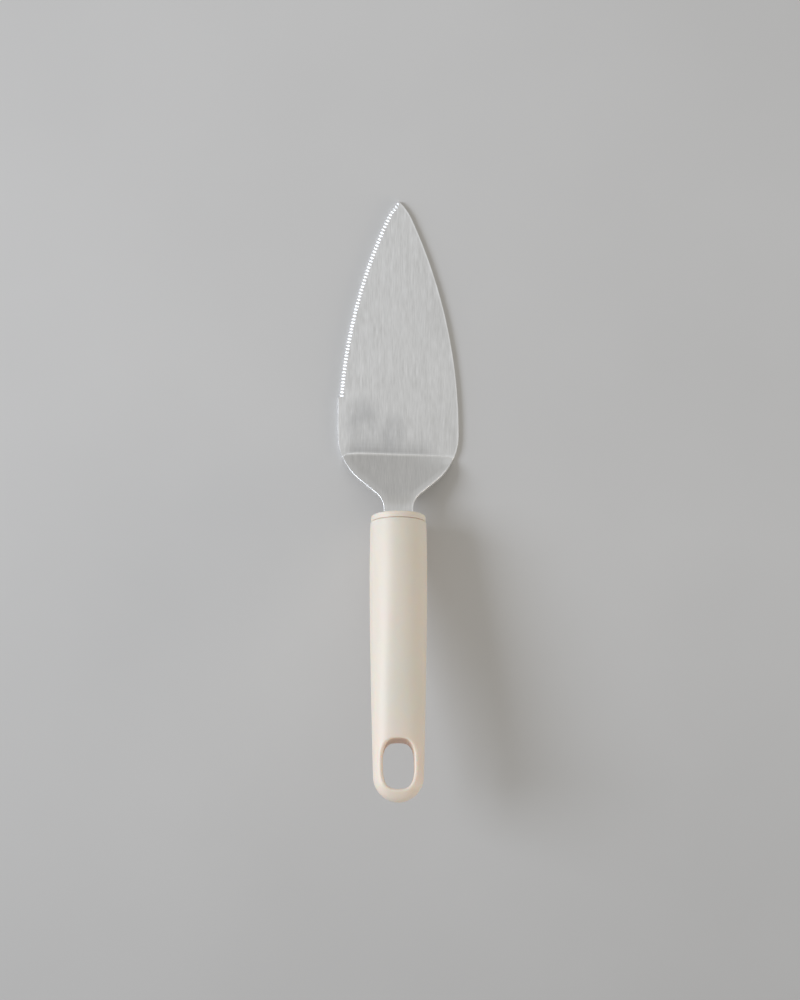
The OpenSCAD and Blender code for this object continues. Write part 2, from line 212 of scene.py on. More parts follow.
# %% Helpers for finishes
class Finish:
    """A node material in the making, with helpers that add nodes and join them."""

    def __init__(self, name):
        self.material = bpy.data.materials.new(name)
        self.material.use_nodes = True
        self.tree = self.material.node_tree

    def put(self, socket, value):
        """Joins another node's output to the socket, or sets the socket's own value."""
        if isinstance(value, bpy.types.NodeSocket):
            self.tree.links.new(value, socket)
        else:
            socket.default_value = value

    def fill(self, node, inputs):
        """Puts each value into the input that its key names, with _ for a space."""
        for key, value in inputs.items():
            self.put(node.inputs[key.replace("_", " ")], value)

    def add(self, kind, settings=None, **inputs):
        """A new node of a kind, with its settings and its inputs."""
        node = self.tree.nodes.new("ShaderNode" + kind)
        for key, value in (settings or {}).items():
            setattr(node, key, value)
        self.fill(node, inputs)
        return node

    def maths(self, operation, first, *others):
        """An operation on one number, or carried through several from left to right."""
        for other in others or (0.0,):
            node = self.add("Math", {"operation": operation})
            self.put(node.inputs[0], first)
            self.put(node.inputs[1], other)
            first = node.outputs["Value"]
        return first

    def ranged(self, value, low, high, at_low, at_high, shape="SMOOTHSTEP"):
        """at_low up to low, at_high from high on, and a smooth or even change between them."""
        ends = {"From_Min": low, "From_Max": high, "To_Min": at_low, "To_Max": at_high}
        node = self.add("MapRange", {"interpolation_type": shape}, Value=value, **ends)
        return node.outputs["Result"]

    def mixed(self, blend, share, under, over):
        """One colour over another, by a way of blending and a share."""
        settings = {"data_type": "RGBA", "blend_type": blend}
        return self.add("Mix", settings, Factor=share, A=under, B=over).outputs["Result"]

    def blended(self, share, first, second):
        """Two numbers mixed by the share of the second."""
        settings = {"data_type": "FLOAT"}
        return self.add("Mix", settings, Factor=share, A=first, B=second).outputs["Result"]

    def noise(self, place, waves, **settings):
        """Noise with a number of waves to the metre."""
        return self.add("TexNoise", Vector=place, Scale=waves, **settings).outputs["Fac"]

    def ramp(self, value, stops, shape="LINEAR"):
        """The colour that a value meets between stops, each a place and a colour."""
        node = self.add("ValToRGB", Fac=value)
        scale = node.color_ramp
        scale.interpolation = shape
        scale.elements.remove(scale.elements[1])
        for number, (place, colour) in enumerate(stops):
            stop = scale.elements.new(place) if number else scale.elements[0]
            stop.position = place
            stop.color = (*colour, 1)
        return node.outputs["Color"]

    def bump(self, height, strength, distance):
        """The direction of a surface roughened by a height."""
        node = self.add("Bump", Strength=strength, Distance=distance, Height=height)
        return node.outputs["Normal"]

    def dress(self, **inputs):
        """Fills the shader and gives back the finished material."""
        self.fill(self.tree.nodes["Principled BSDF"], inputs)
        return self.material


def shades(colour, darkest):
    """Two stops of a ramp: a share of the colour, and the colour itself."""
    return (0.3, tuple(darkest * part for part in colour)), (0.7, colour)


# %% [markdown]
# ## Finishes
#
# **Brushed steel.** A belt leaves fine parallel scratches from the tip to the tang. They are noise
# stretched along the sheet, read from the piece's own map, so they follow the bends. The same
# noise moves the colour, the roughness and a very small bump, and the anisotropic shader spreads
# the highlight across the scratches.

# %% Brushing
steel_tones = ((0.3, (0.62, 0.613, 0.591)), (0.7, (0.782, 0.771, 0.745)))
fine_waves = (2000, 170, 1)
wide_waves = (600, 40, 1)
cloud_waves = (40, 30, 1)
wide_share = 0.35
cloud_share = 0.2
brushing_depth = 0.01 * mm


def sheet_noise(steel, place, waves, detail):
    """Noise with numbers of waves to the metre of its own across and along the sheet."""
    stretched = steel.add("Mapping", Vector=place, Scale=waves).outputs["Vector"]
    return steel.noise(stretched, 1.0, Detail=detail, Roughness=0.55)


def brushing(steel, place):
    """The streaks of the belt, and the colour that they and a slow cloudiness give."""
    fine = sheet_noise(steel, place, fine_waves, 2.0)
    wide = sheet_noise(steel, place, wide_waves, 2.0)
    cloud = sheet_noise(steel, place, cloud_waves, 3.0)
    streaks = steel.blended(wide_share, fine, wide)
    return streaks, steel.ramp(steel.blended(cloud_share, streaks, cloud), steel_tones)


# %% [markdown]
# ** Painted crease light.** A painted highlight runs along the crease, and painted shade makes a duller
# band in front of it, strongest on the left. In the photograph the crease is a little off square
# and its ends curve back, so the marks follow a line with that slant and that bow. They are tones
# that multiply the colour, read from ramps that run from just behind the crease to well in front of
# it.

# %% Painted crease light
crease_slant = math.tan(math.radians(1.9))
crease_bow = 1.6 * mm
bow_start = 25 * mm
bow_power = 10
crease_paint_back = 2.2 * mm
crease_paint_front = 9 * mm
# Tones of the painted highlight along the crease and of the painted shade in front of it.
crease_highlight_tones = ((0.0, 1.0), (0.04, 1.08), (0.1, 1.26), (0.15, 1.23), (0.2, 1.02), (1.0, 1.0))
crease_shade_tones = (
    (0.0, 1.0), (0.16, 1.0), (0.232, 0.76), (0.277, 0.7), (0.357, 0.74),
    (0.48, 0.82), (0.67, 0.91), (0.84, 0.97), (1.0, 1.0),
)
# A fade holds the place where it starts, the place where it ends, and the shares there.
crease_highlight_to_ends = (19 * mm, 26 * mm, 1.0, 0.0)
crease_shade_from_left = (-26 * mm, -19 * mm, 0.0, 1.0)
crease_shade_past_middle = (-8 * mm, 6 * mm, 1.0, 0.72)
crease_shade_to_right = (9 * mm, 22 * mm, 1.0, 0.0)


def ahead_of_crease(steel, across, along):
    """Distance ahead of the crease: along, plus the slant times across, plus the bow, which grows
    with a power of the distance from the axis."""
    from_axis = steel.maths("MULTIPLY", steel.maths("ABSOLUTE", across), 1 / bow_start)
    bow = steel.maths("MULTIPLY", steel.maths("POWER", from_axis, bow_power), crease_bow)
    return steel.maths("ADD", along, steel.maths("MULTIPLY", across, crease_slant), bow)


def painted_crease_light(steel, colour, across, ahead):
    """The colour times the tones of the bright line and of the dull band."""
    share = steel.ranged(ahead, -crease_paint_back, crease_paint_front, 0.0, 1.0, "LINEAR")
    line, crease_shade = [
        steel.ramp(share, [(place, (tone, tone, tone)) for place, tone in tones], "EASE")
        for tones in (crease_highlight_tones, crease_shade_tones)
    ]
    crease_highlight_share = steel.ranged(steel.maths("ABSOLUTE", across), *crease_highlight_to_ends)
    crease_shade_fades = crease_shade_from_left, crease_shade_past_middle, crease_shade_to_right
    crease_shade_share = steel.maths("MULTIPLY", *[steel.ranged(across, *fade) for fade in crease_shade_fades])
    highlighted = steel.mixed("MULTIPLY", crease_highlight_share, colour, line)
    return steel.mixed("MULTIPLY", crease_shade_share, highlighted, crease_shade)


# %% [markdown]
# ** Painted dark patches.** Two darker, blotchy patches on the left of the blade are painted shade,
# the dimmer reflection there. A soft oval says where each one lies, and noise makes it uneven.

# %% Painted dark patches
# Ovals of the painted shade: middle across and along, and reach each way.
dark_patch_ovals = ((-16 * mm, 15 * mm, 11 * mm, 13 * mm), (-3 * mm, 10 * mm, 8 * mm, 10 * mm))
blotch_waves = (160, 90, 1)
blotch_shares = (0.35, 0.65, 0.12, 0.38)
painted_shade_grey = (0.3, 0.3, 0.3, 1)


def soft_oval(steel, across, along, middle_x, middle_y, reach_x, reach_y):
    """One less the squares of the shares of the way from the oval's middle to its border."""
    off_x = steel.maths("MULTIPLY", steel.maths("SUBTRACT", across, middle_x), 1 / reach_x)
    off_y = steel.maths("MULTIPLY", steel.maths("SUBTRACT", along, middle_y), 1 / reach_y)
    squares = [steel.maths("MULTIPLY", off, off) for off in (off_x, off_y)]
    return steel.ranged(steel.maths("ADD", *squares), 0.0, 1.0, 1.0, 0.0, "LINEAR")


def painted_dark_patches(steel, colour, place, across, along):
    """The colour with the painted grey shade of the patches over it."""
    blotches = steel.ranged(sheet_noise(steel, place, blotch_waves, 3.0), *blotch_shares, "LINEAR")
    ovals = [soft_oval(steel, across, along, *oval) for oval in dark_patch_ovals]
    share = steel.maths("MULTIPLY", steel.maths("MAXIMUM", *ovals), blotches)
    return steel.mixed("MIX", share, colour, painted_shade_grey)


# %% [markdown]
# ** Painted highlights on the right.** Painted light makes the right half of the shoulder lighter than
# the left one. A painted highlight follows the edge as a light margin behind the crease, a painted
# bright line runs along the whole right edge, and the corner where the crease meets that edge gets
# the brightest painted highlight. A second map, "margin", holds each point's distance to the edge.
# These are changes of colour only, and the strongest counts.

# %% Painted highlights on the right
# Sizes and fades of the painted highlights on the right.
margin_w = 4 * mm
border_line_w = 0.85 * mm
border_line_core = 0.3 * border_line_w
behind_crease = (-2 * mm, 1 * mm, 1.0, 0.0)
margin_to_neck = (-30 * mm, -20 * mm, 0.3, 1.0)
margin_from_left = (-10 * mm, 6 * mm, 0.25, 0.5)
line_to_front = (-6 * mm, 0.0, 1.0, 0.5)
line_from_middle = (0.0, 4 * mm, 0.0, 1.0)
half_from_middle = (0.0, 28 * mm, 0.0, 0.6)
half_to_back = (-9 * mm, -2 * mm, 0.35, 1.0)
corner_oval = (24 * mm, -4.5 * mm, 6 * mm, 4.5 * mm)
corner_share = 0.85
painted_highlight_white = (1.0, 1.0, 0.98, 1)


def painted_right_highlights(steel, colour, across, along, ahead):
    """The colour lightened by the largest share of the painted margin, line, shoulder half and
    corner.
    """
    margin_map = steel.add("UVMap", {"uv_map": "margin"}).outputs["UV"]
    to_edge = steel.add("SeparateXYZ", Vector=margin_map).outputs["X"]
    behind = steel.ranged(ahead, *behind_crease)
    margin = steel.maths(
        "MULTIPLY",
        behind,
        steel.ranged(to_edge, 0.0, margin_w, 1.0, 0.0),
        steel.ranged(along, *margin_to_neck),
        steel.ranged(across, *margin_from_left),
    )
    line = steel.maths(
        "MULTIPLY",
        steel.ranged(to_edge, border_line_core, border_line_w, 1.0, 0.0),
        steel.ranged(ahead, *line_to_front),
        steel.ranged(across, *line_from_middle),
    )
    half = steel.maths(
        "MULTIPLY",
        behind,
        steel.ranged(across, *half_from_middle),
        steel.ranged(ahead, *half_to_back),
    )
    oval = soft_oval(steel, across, along, *corner_oval)
    corner = steel.maths("MULTIPLY", oval, corner_share)
    share = steel.maths("MAXIMUM", margin, line, half, corner)
    return steel.mixed("MIX", share, colour, painted_highlight_white)


# %% Brushed steel
def brushed_steel():
    """The finish of the sheet's faces: brushing, with painted highlights and shade over it at the
    crease, in two dark patches and along the right.
    """
    steel = Finish("brushed steel")
    place = steel.add("UVMap", {"uv_map": "sheet"}).outputs["UV"]
    parts = steel.add("SeparateXYZ", Vector=place)
    across, along = parts.outputs["X"], parts.outputs["Y"]
    ahead = ahead_of_crease(steel, across, along)
    streaks, colour = brushing(steel, place)
    colour = painted_crease_light(steel, colour, across, ahead)
    colour = painted_dark_patches(steel, colour, place, across, along)
    colour = painted_right_highlights(steel, colour, across, along, ahead)
    tangent = steel.add("Tangent", {"direction_type": "UV_MAP", "uv_map": "sheet"})
    return steel.dress(
        Base_Color=colour,
        Roughness=steel.ranged(streaks, 0.0, 1.0, 0.34, 0.48, "LINEAR"),
        Normal=steel.bump(streaks, 0.2, brushing_depth),
        Tangent=tangent.outputs["Tangent"],
        Metallic=1,
        Anisotropic=0.7,
    )


# %% [markdown]
# **Cut edge and ground grooves.** The cut edge of the sheet was linished and tumbled: it is
# smoother and brighter than the face and shines as a thin line round the outline. The grooves come
# straight from a grinding wheel, so they are the brightest steel of all, with fine marks.

# %% Bright steel
def bright_steel(name, colour, rough_low, rough_high, waves):
    """Steel with fine marks in all directions."""
    steel = Finish(name)
    marks = steel.noise(steel.add("TexCoord").outputs["Object"], waves, Detail=2.0)
    return steel.dress(
        Base_Color=steel.ramp(marks, shades(colour, 0.92)),
        Roughness=steel.ranged(marks, 0.0, 1.0, rough_low, rough_high, "LINEAR"),
        Normal=steel.bump(marks, 0.2, brushing_depth),
        Metallic=1,
    )


# %% [markdown]
# **Moulded plastic.** The handle is matte polypropylene with a barely visible grain from the
# spark-eroded mould. A fine noise gives the grain, and a slow one a trace of unevenness in colour.
# Light goes a little way into the plastic, most of all the red, so its shades are warm. Inside the
# hanging hole and in the seam of the cap it bounces from cream to cream, and a browner copy of the
# plastic is painted shade that gives the deeper colour it takes on there.

# %% Moulded plastic
grain_waves = 3500
plastic_cloud_waves = 45
grain_depth = 0.02 * mm


def moulded_plastic(name, colour, rough_low, rough_high):
    """Matte plastic with a fine grain."""
    plastic = Finish(name)
    place = plastic.add("TexCoord").outputs["Object"]
    grain = plastic.noise(place, grain_waves, Detail=2.0, Roughness=0.6)
    cloud = plastic.noise(place, plastic_cloud_waves, Detail=2.0)
    return plastic.dress(
        Base_Color=plastic.ramp(plastic.blended(0.5, grain, cloud), shades(colour, 0.975)),
        Roughness=plastic.ranged(grain, 0.0, 1.0, rough_low, rough_high, "LINEAR"),
        Normal=plastic.bump(grain, 0.15, grain_depth),
        Subsurface_Weight=0.5,
        Subsurface_Radius=(1.0, 0.5, 0.3),
        Subsurface_Scale=4 * mm,
    )


# %% [markdown]
# ** Floor.** It is an even grey with a slow cloudiness. It has no gloss, and painted shade makes it a
# little darker towards the loop and to the right, as in the photograph.

# %% Floor finish
floor_tones = ((0.3, (0.578, 0.569, 0.551)), (0.7, (0.608, 0.599, 0.581)))
floor_cloud_waves = 6
# Falls of painted shade, towards the loop and to the right.
fall_to_loop = (-0.25, -0.02, 0.87, 1.0)
fall_to_right = (-0.03, 0.15, 1.0, 0.965)


def plain_floor():
    """Cloudy grey times its two falls of painted shade."""
    plain = Finish("plain floor")
    place = plain.add("TexCoord").outputs["Object"]
    parts = plain.add("SeparateXYZ", Vector=place)
    colour = plain.ramp(plain.noise(place, floor_cloud_waves, Detail=4.0), floor_tones)
    for side, fall in (("Y", fall_to_loop), ("X", fall_to_right)):
        tone = plain.ranged(parts.outputs[side], *fall, "LINEAR")
        colour = plain.mixed("MULTIPLY", 1.0, colour, tone)
    return plain.dress(Base_Color=colour, Roughness=0.8, Specular_IOR_Level=0.0)


# %% All finishes
face_steel = brushed_steel()
edge_steel = bright_steel("linished edge", (0.95, 0.95, 0.94), 0.30, 0.42, 1500)
groove_steel = bright_steel("ground groove", (0.97, 0.97, 0.96), 0.45, 0.55, 4000)
cream_plastic = moulded_plastic("cream plastic", (0.79, 0.705, 0.60), 0.40, 0.50)
# The shaded cream plastic is painted shade, for the hole's wall and the cap's seam.
shaded_plastic = moulded_plastic("shaded cream plastic", (0.76, 0.56, 0.43), 0.40, 0.50)
core_plastic = moulded_plastic("core plastic", (0.62, 0.62, 0.60), 0.5, 0.6)
floor_mesh.materials.append(plain_floor())
print("finishes:", ", ".join(sorted(finish.name for finish in bpy.data.materials)))

# %% [markdown]
# ## The sheet
#
# The blade is flat, then the crease turns the sheet up by 33 degrees, and a wide bend brings it
# back to the tilt of the handle. The easiest way to model a bent sheet is to draw it flat and then
# roll the drawing along its side view: every point has a place across, x, a distance along, s, and
# a height through the thickness, h.

# %% Side view of the sheet
blade_l = 115.7 * mm
sheet_t = 2 * mm
shoulder_rise = math.radians(33)
handle_tilt = math.radians(13.5)
shoulder_l = 23.6 * mm
neck_l = 8.1 * mm
crease_r = 1.5 * mm
neck_bend_r = 21 * mm
tang_l = 38 * mm

half_t = sheet_t / 2
crease_mid_r = crease_r + half_t
neck_mid_r = neck_bend_r + half_t
neck_turn = shoulder_rise - handle_tilt
crease_tangent = crease_mid_r * math.tan(shoulder_rise / 2)
neck_tangent = neck_mid_r * math.tan(neck_turn / 2)
crease_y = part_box("blade")[1].y - blade_l

stretches = [
    crease_mid_r * shoulder_rise,
    shoulder_l - crease_tangent - neck_tangent,
    neck_mid_r * neck_turn,
    neck_l - neck_tangent + tang_l,
]
knots = np.cumsum([0, *stretches])
line_points = 8001
line_back = np.linspace(0, knots[-1], line_points)
slant_full_l = 6 * mm
slant_end_l = 18 * mm
slopes = [0, shoulder_rise, shoulder_rise, handle_tilt, handle_tilt]
line_slope = np.interp(line_back, knots, slopes)
middle_slope = (line_slope[1:] + line_slope[:-1]) / 2
line_y = crease_y + crease_tangent - np.append(0, np.cumsum(np.cos(middle_slope)) * line_back[1])
line_z = half_t + np.append(0, np.cumsum(np.sin(middle_slope)) * line_back[1])
cap_back = knots[-1] - tang_l
cap_front = np.array([np.interp(cap_back, line_back, line) for line in (line_y, line_z)])
print("front of the cap in mm:", np.round(cap_front / mm, 2))


def on_sheet(x, s, h):
    """Points of the bent sheet. s is the distance along it, positive on the flat blade and negative
    behind the crease, where the side view is the running sum of the slope's cosine and sine.
    h is the height above the underside, measured square to the sheet. Near the crease the place in
    the side view shifts back by the crease's slant times x, and by its bow, a tenth power of x."""
    back = np.clip(-s, 0, None)
    shift = crease_slant * x + crease_bow * (np.abs(x) / bow_start) ** bow_power
    bent_back = np.clip(-s - shift * np.interp(back, [slant_full_l, slant_end_l], [1, 0]), 0, None)
    slope = np.interp(bent_back, line_back, line_slope)
    y = np.interp(back, line_back, line_y) + np.clip(s, 0, None) + (h - half_t) * np.sin(slope)
    z = np.interp(bent_back, line_back, line_z) + (h - half_t) * np.cos(slope)
    return np.stack(np.broadcast_arrays(x, y, z), axis=-1)


# %% [markdown]
# ## Outline of the blade
#
# Each long side is an arc of large radius, and a short blunter arc forms the tip. Behind the widest
# line a round corner turns in to a straight slant, which a hollow curve leads into the neck.

# %% Outline sizes
blade_w = 55 * mm
wide_at = 9.2 * mm
tip_blunt = 3.8 * mm
tip_r = 24.5 * mm
heel_l = 17.2 * mm
neck_w = 13.2 * mm
shoulder_r = 26.6 * mm
shoulder_turn = math.radians(51)
neck_r = 8.5 * mm

half_blade_w = blade_w / 2
half_neck_w = neck_w / 2
virtual_tip_l = blade_l - wide_at + tip_blunt
side_r = (half_blade_w**2 + virtual_tip_l**2) / blade_w
side_x = half_blade_w - side_r
tip_reach = math.hypot(side_x, blade_l - wide_at)
tip_arm = side_r - tip_r
tip_swing = math.acos((tip_reach**2 + tip_arm**2 - tip_r**2) / (2 * tip_reach * tip_arm))
join_angle = math.atan2(blade_l - wide_at, -side_x) - tip_swing
tip_x = side_x + tip_arm * math.cos(join_angle)
tip_y = wide_at + tip_arm * math.sin(join_angle)
tip_angle = math.atan2(blade_l - tip_y, -tip_x)
join_y = wide_at + side_r * math.sin(join_angle)
step_y = wide_at + heel_l
shoulder_x = half_blade_w - shoulder_r
slant_start_x = shoulder_x + shoulder_r * math.cos(shoulder_turn)
slant_start_y = wide_at - shoulder_r * math.sin(shoulder_turn)
slant_end_x = half_neck_w + neck_r * (1 - math.cos(shoulder_turn))
slant_end_y = slant_start_y - (slant_start_x - slant_end_x) / math.tan(shoulder_turn)
neck_y = slant_end_y - neck_r * math.sin(shoulder_turn)
print("radius of a side in mm:", round(side_r / mm, 1))
print("half angle of the tip in degrees:", round(math.degrees(tip_angle), 1))

# %% Half width along the blade
def leg(radius, other):
    """The other leg of a right-angled triangle, with nothing below zero under the root."""
    return np.sqrt(np.clip(radius**2 - other**2, 0, None))


def turn_of(share):
    """The angle whose sine is share."""
    return np.arcsin(np.clip(share, -1, 1))


def outline(y):
    """Half width at the distance y from the crease, and the angle of the outward direction
    there: circle arcs joined by straight stretches, from the tip to the neck."""
    cases = [y > join_y, y > wide_at, y > slant_start_y, y > slant_end_y, y > neck_y]
    halves = [
        tip_x + leg(tip_r, y - tip_y),
        side_x + leg(side_r, y - wide_at),
        shoulder_x + leg(shoulder_r, y - wide_at),
        slant_end_x + (y - slant_end_y) * math.tan(shoulder_turn),
        half_neck_w + neck_r - leg(neck_r, y - neck_y),
    ]
    turns = [
        turn_of((y - tip_y) / tip_r),
        turn_of((y - wide_at) / side_r),
        turn_of((y - wide_at) / shoulder_r),
        np.full_like(y, -shoulder_turn),
        -turn_of((y - neck_y) / neck_r),
    ]
    return np.clip(np.select(cases, halves, half_neck_w), 0, None), np.select(cases, turns, 0.0)


half_at_crease, _ = outline(np.zeros(1))
print("half width at the crease in mm:", np.round(half_at_crease / mm, 2))

# %% [markdown]
# ## Grooves
#
# A wheel has ground a row of round-bottomed grooves, square to the edge and sloping down to it.
# Each one also notches the outline a little. Real geometry makes them: the stations along the blade
# are set closer together there, a few to each groove.

# %% Groove shape
groove_pitch = 1.54 * mm
groove_r = 0.96 * mm / 2
groove_l = 1.85 * mm
groove_bite = 0.22 * mm
groove_depth = 0.68 * sheet_t
groove_slope = math.atan(groove_depth / groove_l)

side_arc_l = side_r * join_angle
edge_l = side_arc_l + tip_r * (tip_angle - join_angle)
first_groove = side_r * math.asin((step_y - wide_at) / side_r) + groove_pitch / 2
groove_count = int((edge_l - first_groove - 2 * groove_r) / groove_pitch) + 1


def edge_to_y(along):
    """Distance from the crease to a point of the edge, from its way along the edge."""
    on_side = wide_at + side_r * np.sin(along / side_r)
    on_tip = tip_y + tip_r * np.sin(join_angle + (along - side_arc_l) / tip_r)
    return np.where(along < side_arc_l, on_side, on_tip)


def off_centre(along):
    """Distance along the edge to the nearest groove's middle line."""
    number = np.clip(np.round((along - first_groove) / groove_pitch), 0, groove_count - 1)
    return along - first_groove - number * groove_pitch


def groove_at(along):
    """The groove at a place along the edge: how far it notches the outline, how far in it reaches
    and how deep it would be with no inset. Its floor slopes down to the edge, and its round bottom
    rises away from the middle line by the radius less the leg of a right-angled triangle."""
    off = off_centre(along)
    inside = np.abs(off) < groove_r
    depth = groove_depth - (groove_r - leg(groove_r, off)) / math.cos(groove_slope)
    notch = np.where(inside, np.clip(leg(groove_r, off) - (groove_r - groove_bite), 0, None), 0)
    return notch, groove_l * depth / groove_depth, np.where(inside, depth, 0)


print(groove_count, "grooves")

# %% [markdown]
# ## Stations
#
# Stations run from the end of the tang to the tip. At every station a closed ring goes round the
# sheet: down over the rounded left edge, across below, up round the right edge, and back over the
# top. Near the edges the ring's points are set square to the outline, so the rounding stays even
# where the outline turns.

# %% Stations along the sheet
round_start = tang_l + cap_back - half_neck_w
inside_cap = cap_back + 3 * mm
heel_gap = 0.12 * mm
heel_end = step_y - crease_tangent - heel_gap
stretch_steps = (
    (round_start, inside_cap, 12),
    (inside_cap, knots[3], 16),
    (knots[3], knots[2], 22),
    (knots[2], knots[1], 36),
    (knots[1], 0, 11),
)
tang_end = -(round_start + half_neck_w * np.sin(np.linspace(math.pi / 2, 0, 9)))
behind = [-np.linspace(start, end, count)[1:] for start, end, count in stretch_steps]
heel = np.linspace(0, heel_end, 50)[1:]
groove_steps = np.array([-1.03, -0.99, -0.9, -0.7, -0.4, 0, 0.4, 0.7, 0.9, 0.99, 1.03]) * groove_r
centres = first_groove + groove_pitch * np.arange(groove_count)
across_grooves = (centres[:, None] + groove_steps).ravel()
along_grooves = np.append(first_groove - groove_pitch / 2, across_grooves)
last_stretch = np.linspace(along_grooves[-1], edge_l, 8)[1:]
along_front = np.concatenate([along_grooves, last_stretch])
front = edge_to_y(along_front) - crease_tangent
station = np.concatenate([tang_end, *behind, heel, front])
serrated = np.arange(len(station)) >= len(station) - len(front)
along_edge = np.concatenate([np.full(len(station) - len(front), -1.0), along_front])
print(len(station), "stations, of which", int(serrated.sum()), "along the grooves")

# %% Edges at the stations
station_y = on_sheet(0, station, half_t)[:, 1] - crease_y
slope_there = np.interp(np.clip(-station, 0, None), line_back, line_slope)
half_right, turn_right = outline(station_y)
at_end = np.clip((-station - round_start) / half_neck_w, 0, 1)
half_right = half_right * np.sqrt(1 - at_end**2)
turn_on_slope = np.arctan(np.tan(turn_right) * np.cos(slope_there))
turn_right = np.where(at_end > 0, -turn_of(at_end), turn_on_slope)
on_heel = (station_y > wide_at) & ~serrated
half_left = np.where(on_heel, half_blade_w, half_right)
print("steepest slope of the sheet in degrees:", round(math.degrees(slope_there.max()), 1))

band_w = 2.3 * mm
left_edge_round = (0.07 * mm, 0.2 * mm)
right_edge_round = (0.06 * mm, 0.2 * mm)
edge_round_grows = (0, 4 * mm)
under_round = 0.3 * mm
ground_round = 0.06 * mm
band_share = 0.9
round_share = 0.4
groove_share = 0.95
least_cosine = 0.05
hair = 0.001 * mm


def band_width(half, turn):
    """Width of the band that follows the edge, which narrows to nothing at the tip."""
    to_axis = half / np.maximum(np.cos(turn), least_cosine)
    return np.where(at_end > 0, band_w, np.minimum(band_w, band_share * to_axis))[:, None]


# %% Rings round the sheet
def corner(radius, angles):
    """Inset and drop along a rounded corner of the sheet: radius times one less sine and cosine."""
    return radius * (1 - np.sin(angles)), radius * (1 - np.cos(angles))


def inset_points(half, turn, side, inward):
    """Place across and along the sheet at a distance inward from the edge, square to it."""
    x = side * (half[:, None] - inward * np.cos(turn)[:, None])
    return x, station[:, None] - inward * np.sin(turn)[:, None]


band_steps = np.linspace(1, 0, 10)[:-1]
round_steps = np.linspace(0, math.pi / 2, 8)


def side_of_ring(half, turn, side, cut, edge_round):
    """Points from the band's inner end on top, over the edge, to its inner end below. edge_round
    holds the top rounding on the flat blade and behind the crease, and cut says where the grooves
    are: there the top is a land that ends in the groove's sloping floor."""
    width = band_width(half, turn)
    top_r = np.interp(-station, edge_round_grows, edge_round)[:, None]
    top_r = np.minimum(top_r, round_share * width)
    low_r = np.minimum(np.where(cut[:, None], ground_round, under_round), round_share * width)
    inset, drop = corner(top_r, round_steps)
    plain_in = np.concatenate([top_r + (width - top_r) * band_steps, inset], axis=1)
    plain_h = sheet_t - np.concatenate([np.zeros((len(station), len(band_steps))), drop], axis=1)
    notch, groove_in, depth = [np.where(cut, part, 0)[:, None] for part in groove_at(along_edge)]
    room = np.minimum(1, groove_share * width / np.maximum(groove_in, hair))
    notch, groove_in, depth = notch * room, groove_in * room, depth * room
    land_in = groove_in + (width - groove_in) * band_steps
    floor_in = notch + (groove_in - notch) * np.linspace(1, 0, len(round_steps))
    floor_h = sheet_t - depth * (1 - floor_in / np.maximum(groove_in, hair))
    land_h = np.full_like(land_in, sheet_t)
    inward = np.where(cut[:, None], np.concatenate([land_in, floor_in], axis=1), plain_in)
    height = np.where(cut[:, None], np.concatenate([land_h, floor_h], axis=1), plain_h)
    low_in, low_h = corner(low_r, round_steps[::-2])
    inward = np.concatenate([inward, notch + low_in, width], axis=1)
    height = np.concatenate([height, low_h, np.zeros_like(width)], axis=1)
    x, s = inset_points(half, turn, side, inward)
    return x, s, height


# %% Grid of the sheet
left = side_of_ring(half_left, turn_right, -1, serrated, left_edge_round)
right = side_of_ring(half_right, turn_right, 1, np.zeros(len(station), bool), right_edge_round)
across = np.linspace(0, 1, 11)[1:-1]


def bridge(start, end, height):
    """Straight rows of points between two columns, without their ends."""
    x = start[0][:, None] + (end[0] - start[0])[:, None] * across
    s = start[1][:, None] + (end[1] - start[1])[:, None] * across
    return x, s, np.full_like(x, height)


below = bridge((left[0][:, -1], left[1][:, -1]), (right[0][:, -1], right[1][:, -1]), 0)
above = bridge((right[0][:, 0], right[1][:, 0]), (left[0][:, 0], left[1][:, 0]), sheet_t)
right_back = [part[:, ::-1] for part in right]
four_sides = zip(left, below, right_back, above)
ring_x, ring_s, ring_h = [np.concatenate(four, axis=1) for four in four_sides]
sheet_grid = on_sheet(ring_x, ring_s, ring_h)
print("ring of", ring_x.shape[1], "points")

# %% Finish of each face
columns = ring_x.shape[1]
side_columns = left[0].shape[1]
is_edge = np.zeros(columns, bool)
edge_span = np.arange(len(band_steps), side_columns - 2)
is_edge[edge_span] = True
is_edge[side_columns + len(across) + (side_columns - 2 - edge_span)] = True
face_of_edge = np.tile(is_edge, (len(station) - 1, 1))
floor_columns = np.arange(len(band_steps), len(band_steps) + len(round_steps) - 1)
serrated_rows = np.flatnonzero(serrated[:-1])
face_of_edge[np.ix_(serrated_rows, floor_columns)] = False
in_groove = serrated & (np.abs(off_centre(along_edge)) < groove_r)
groove_rows = np.flatnonzero(in_groove[:-1] | in_groove[1:])
face_of_groove = np.zeros_like(face_of_edge)
face_of_groove[np.ix_(groove_rows, floor_columns)] = True
face_finish = np.where(face_of_groove, 2, np.where(face_of_edge, 1, 0))
unrolled_x = ring_x + np.sign(ring_x) * (sheet_t - ring_h)
half_beside = np.where(ring_x < 0, half_left[:, None], half_right[:, None])
sheet_uv = {
    "sheet": np.stack([unrolled_x.ravel(), ring_s.ravel()], axis=-1),
    "margin": np.stack([(half_beside - np.abs(ring_x)).ravel(), ring_s.ravel()], axis=-1),
}

sheet_finishes = [face_steel, edge_steel, groove_steel]
blade = make_piece(
    "steel_blade",
    [sheet_grid],
    sheet_finishes,
    crisp_angle=30,
    uv=sheet_uv,
    face_finish=face_finish,
)
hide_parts("blade")

# %% [markdown]
# ## The handle
#
# The handle is a round bar that swells a little behind the cap and tapers to a flat, blunt loop.
# Its section is a superellipse. Rings of it carry the skin from the mouth to the loop.

